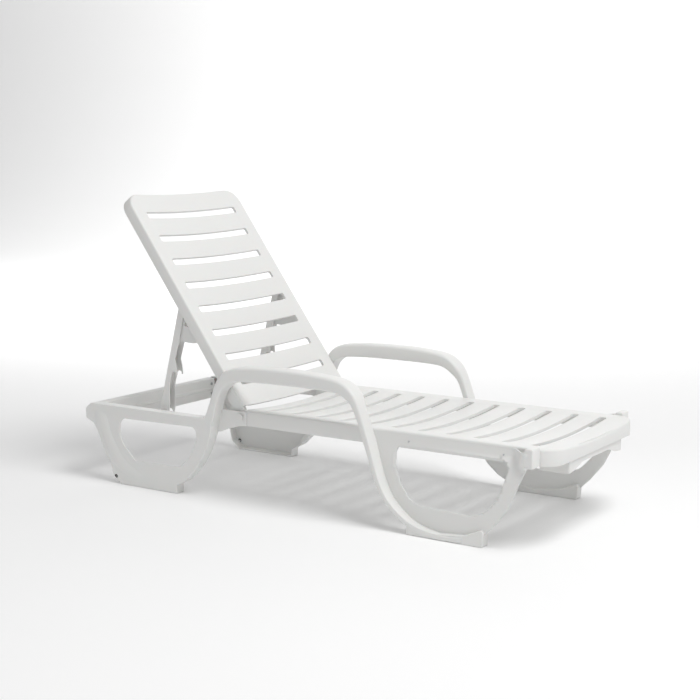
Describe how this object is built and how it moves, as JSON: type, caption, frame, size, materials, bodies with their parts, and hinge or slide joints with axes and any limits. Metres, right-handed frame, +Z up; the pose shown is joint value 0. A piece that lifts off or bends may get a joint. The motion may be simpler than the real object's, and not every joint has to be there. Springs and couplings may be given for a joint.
{
  "type": "reclining sun lounger",
  "caption": "White moulded garden sun lounger with a slatted seat, a slatted backrest that reclines, armrests and a folding notched prop under the backrest",
  "frame": {"origin": "centre of the footprint on the ground, backrest raised", "axes": "+X towards the foot end, +Y towards the user's left, +Z up"},
  "size_m": [1.765, 0.7, 0.9915],
  "materials": {
    "white_panel": "fine moulded grain, satin",
    "white_frame": "fine moulded grain, satin",
    "black_plastic": "smooth moulded",
    "screw_steel": "plated"
  },
  "bodies": {
    "frame": {"seat_panel": "white_panel", "side_frame_right": "white_frame", "side_frame_left": "white_frame", "rear_crossbeam": "white_frame", "back_pivot_pin_right": "white_frame", "back_pivot_pin_left": "white_frame", "prop_rest_stud_right": "white_frame", "prop_rest_stud_left": "white_frame", "axle_bush_right": "black_plastic", "axle_bush_left": "black_plastic", "seat_screws_right": "screw_steel", "seat_screws_left": "screw_steel", "beam_screws_right": "screw_steel", "beam_screws_left": "screw_steel"},
    "backrest": {"backrest_panel": "white_panel"},
    "prop": {"prop_frame": "white_frame", "prop_pivot_pin_right": "white_frame", "prop_pivot_pin_left": "white_frame"}
  },
  "joints": [
    {"name": "back_recline", "type": "hinge", "parent": "frame", "child": "backrest", "pos_m": [-0.2345, 0, 0.281], "axis": [0, 1, 0], "range_deg": [-53.5, 4]},
    {"name": "prop_fold", "type": "hinge", "parent": "backrest", "child": "prop", "pos_m": [-0.49838, 0, 0.63315], "axis": [0, 1, 0], "range_deg": [-42, 4]}
  ],
  "couplings": [
    {"joint": "prop_fold", "follows": "back_recline", "ratio": 0.75}
  ]
}
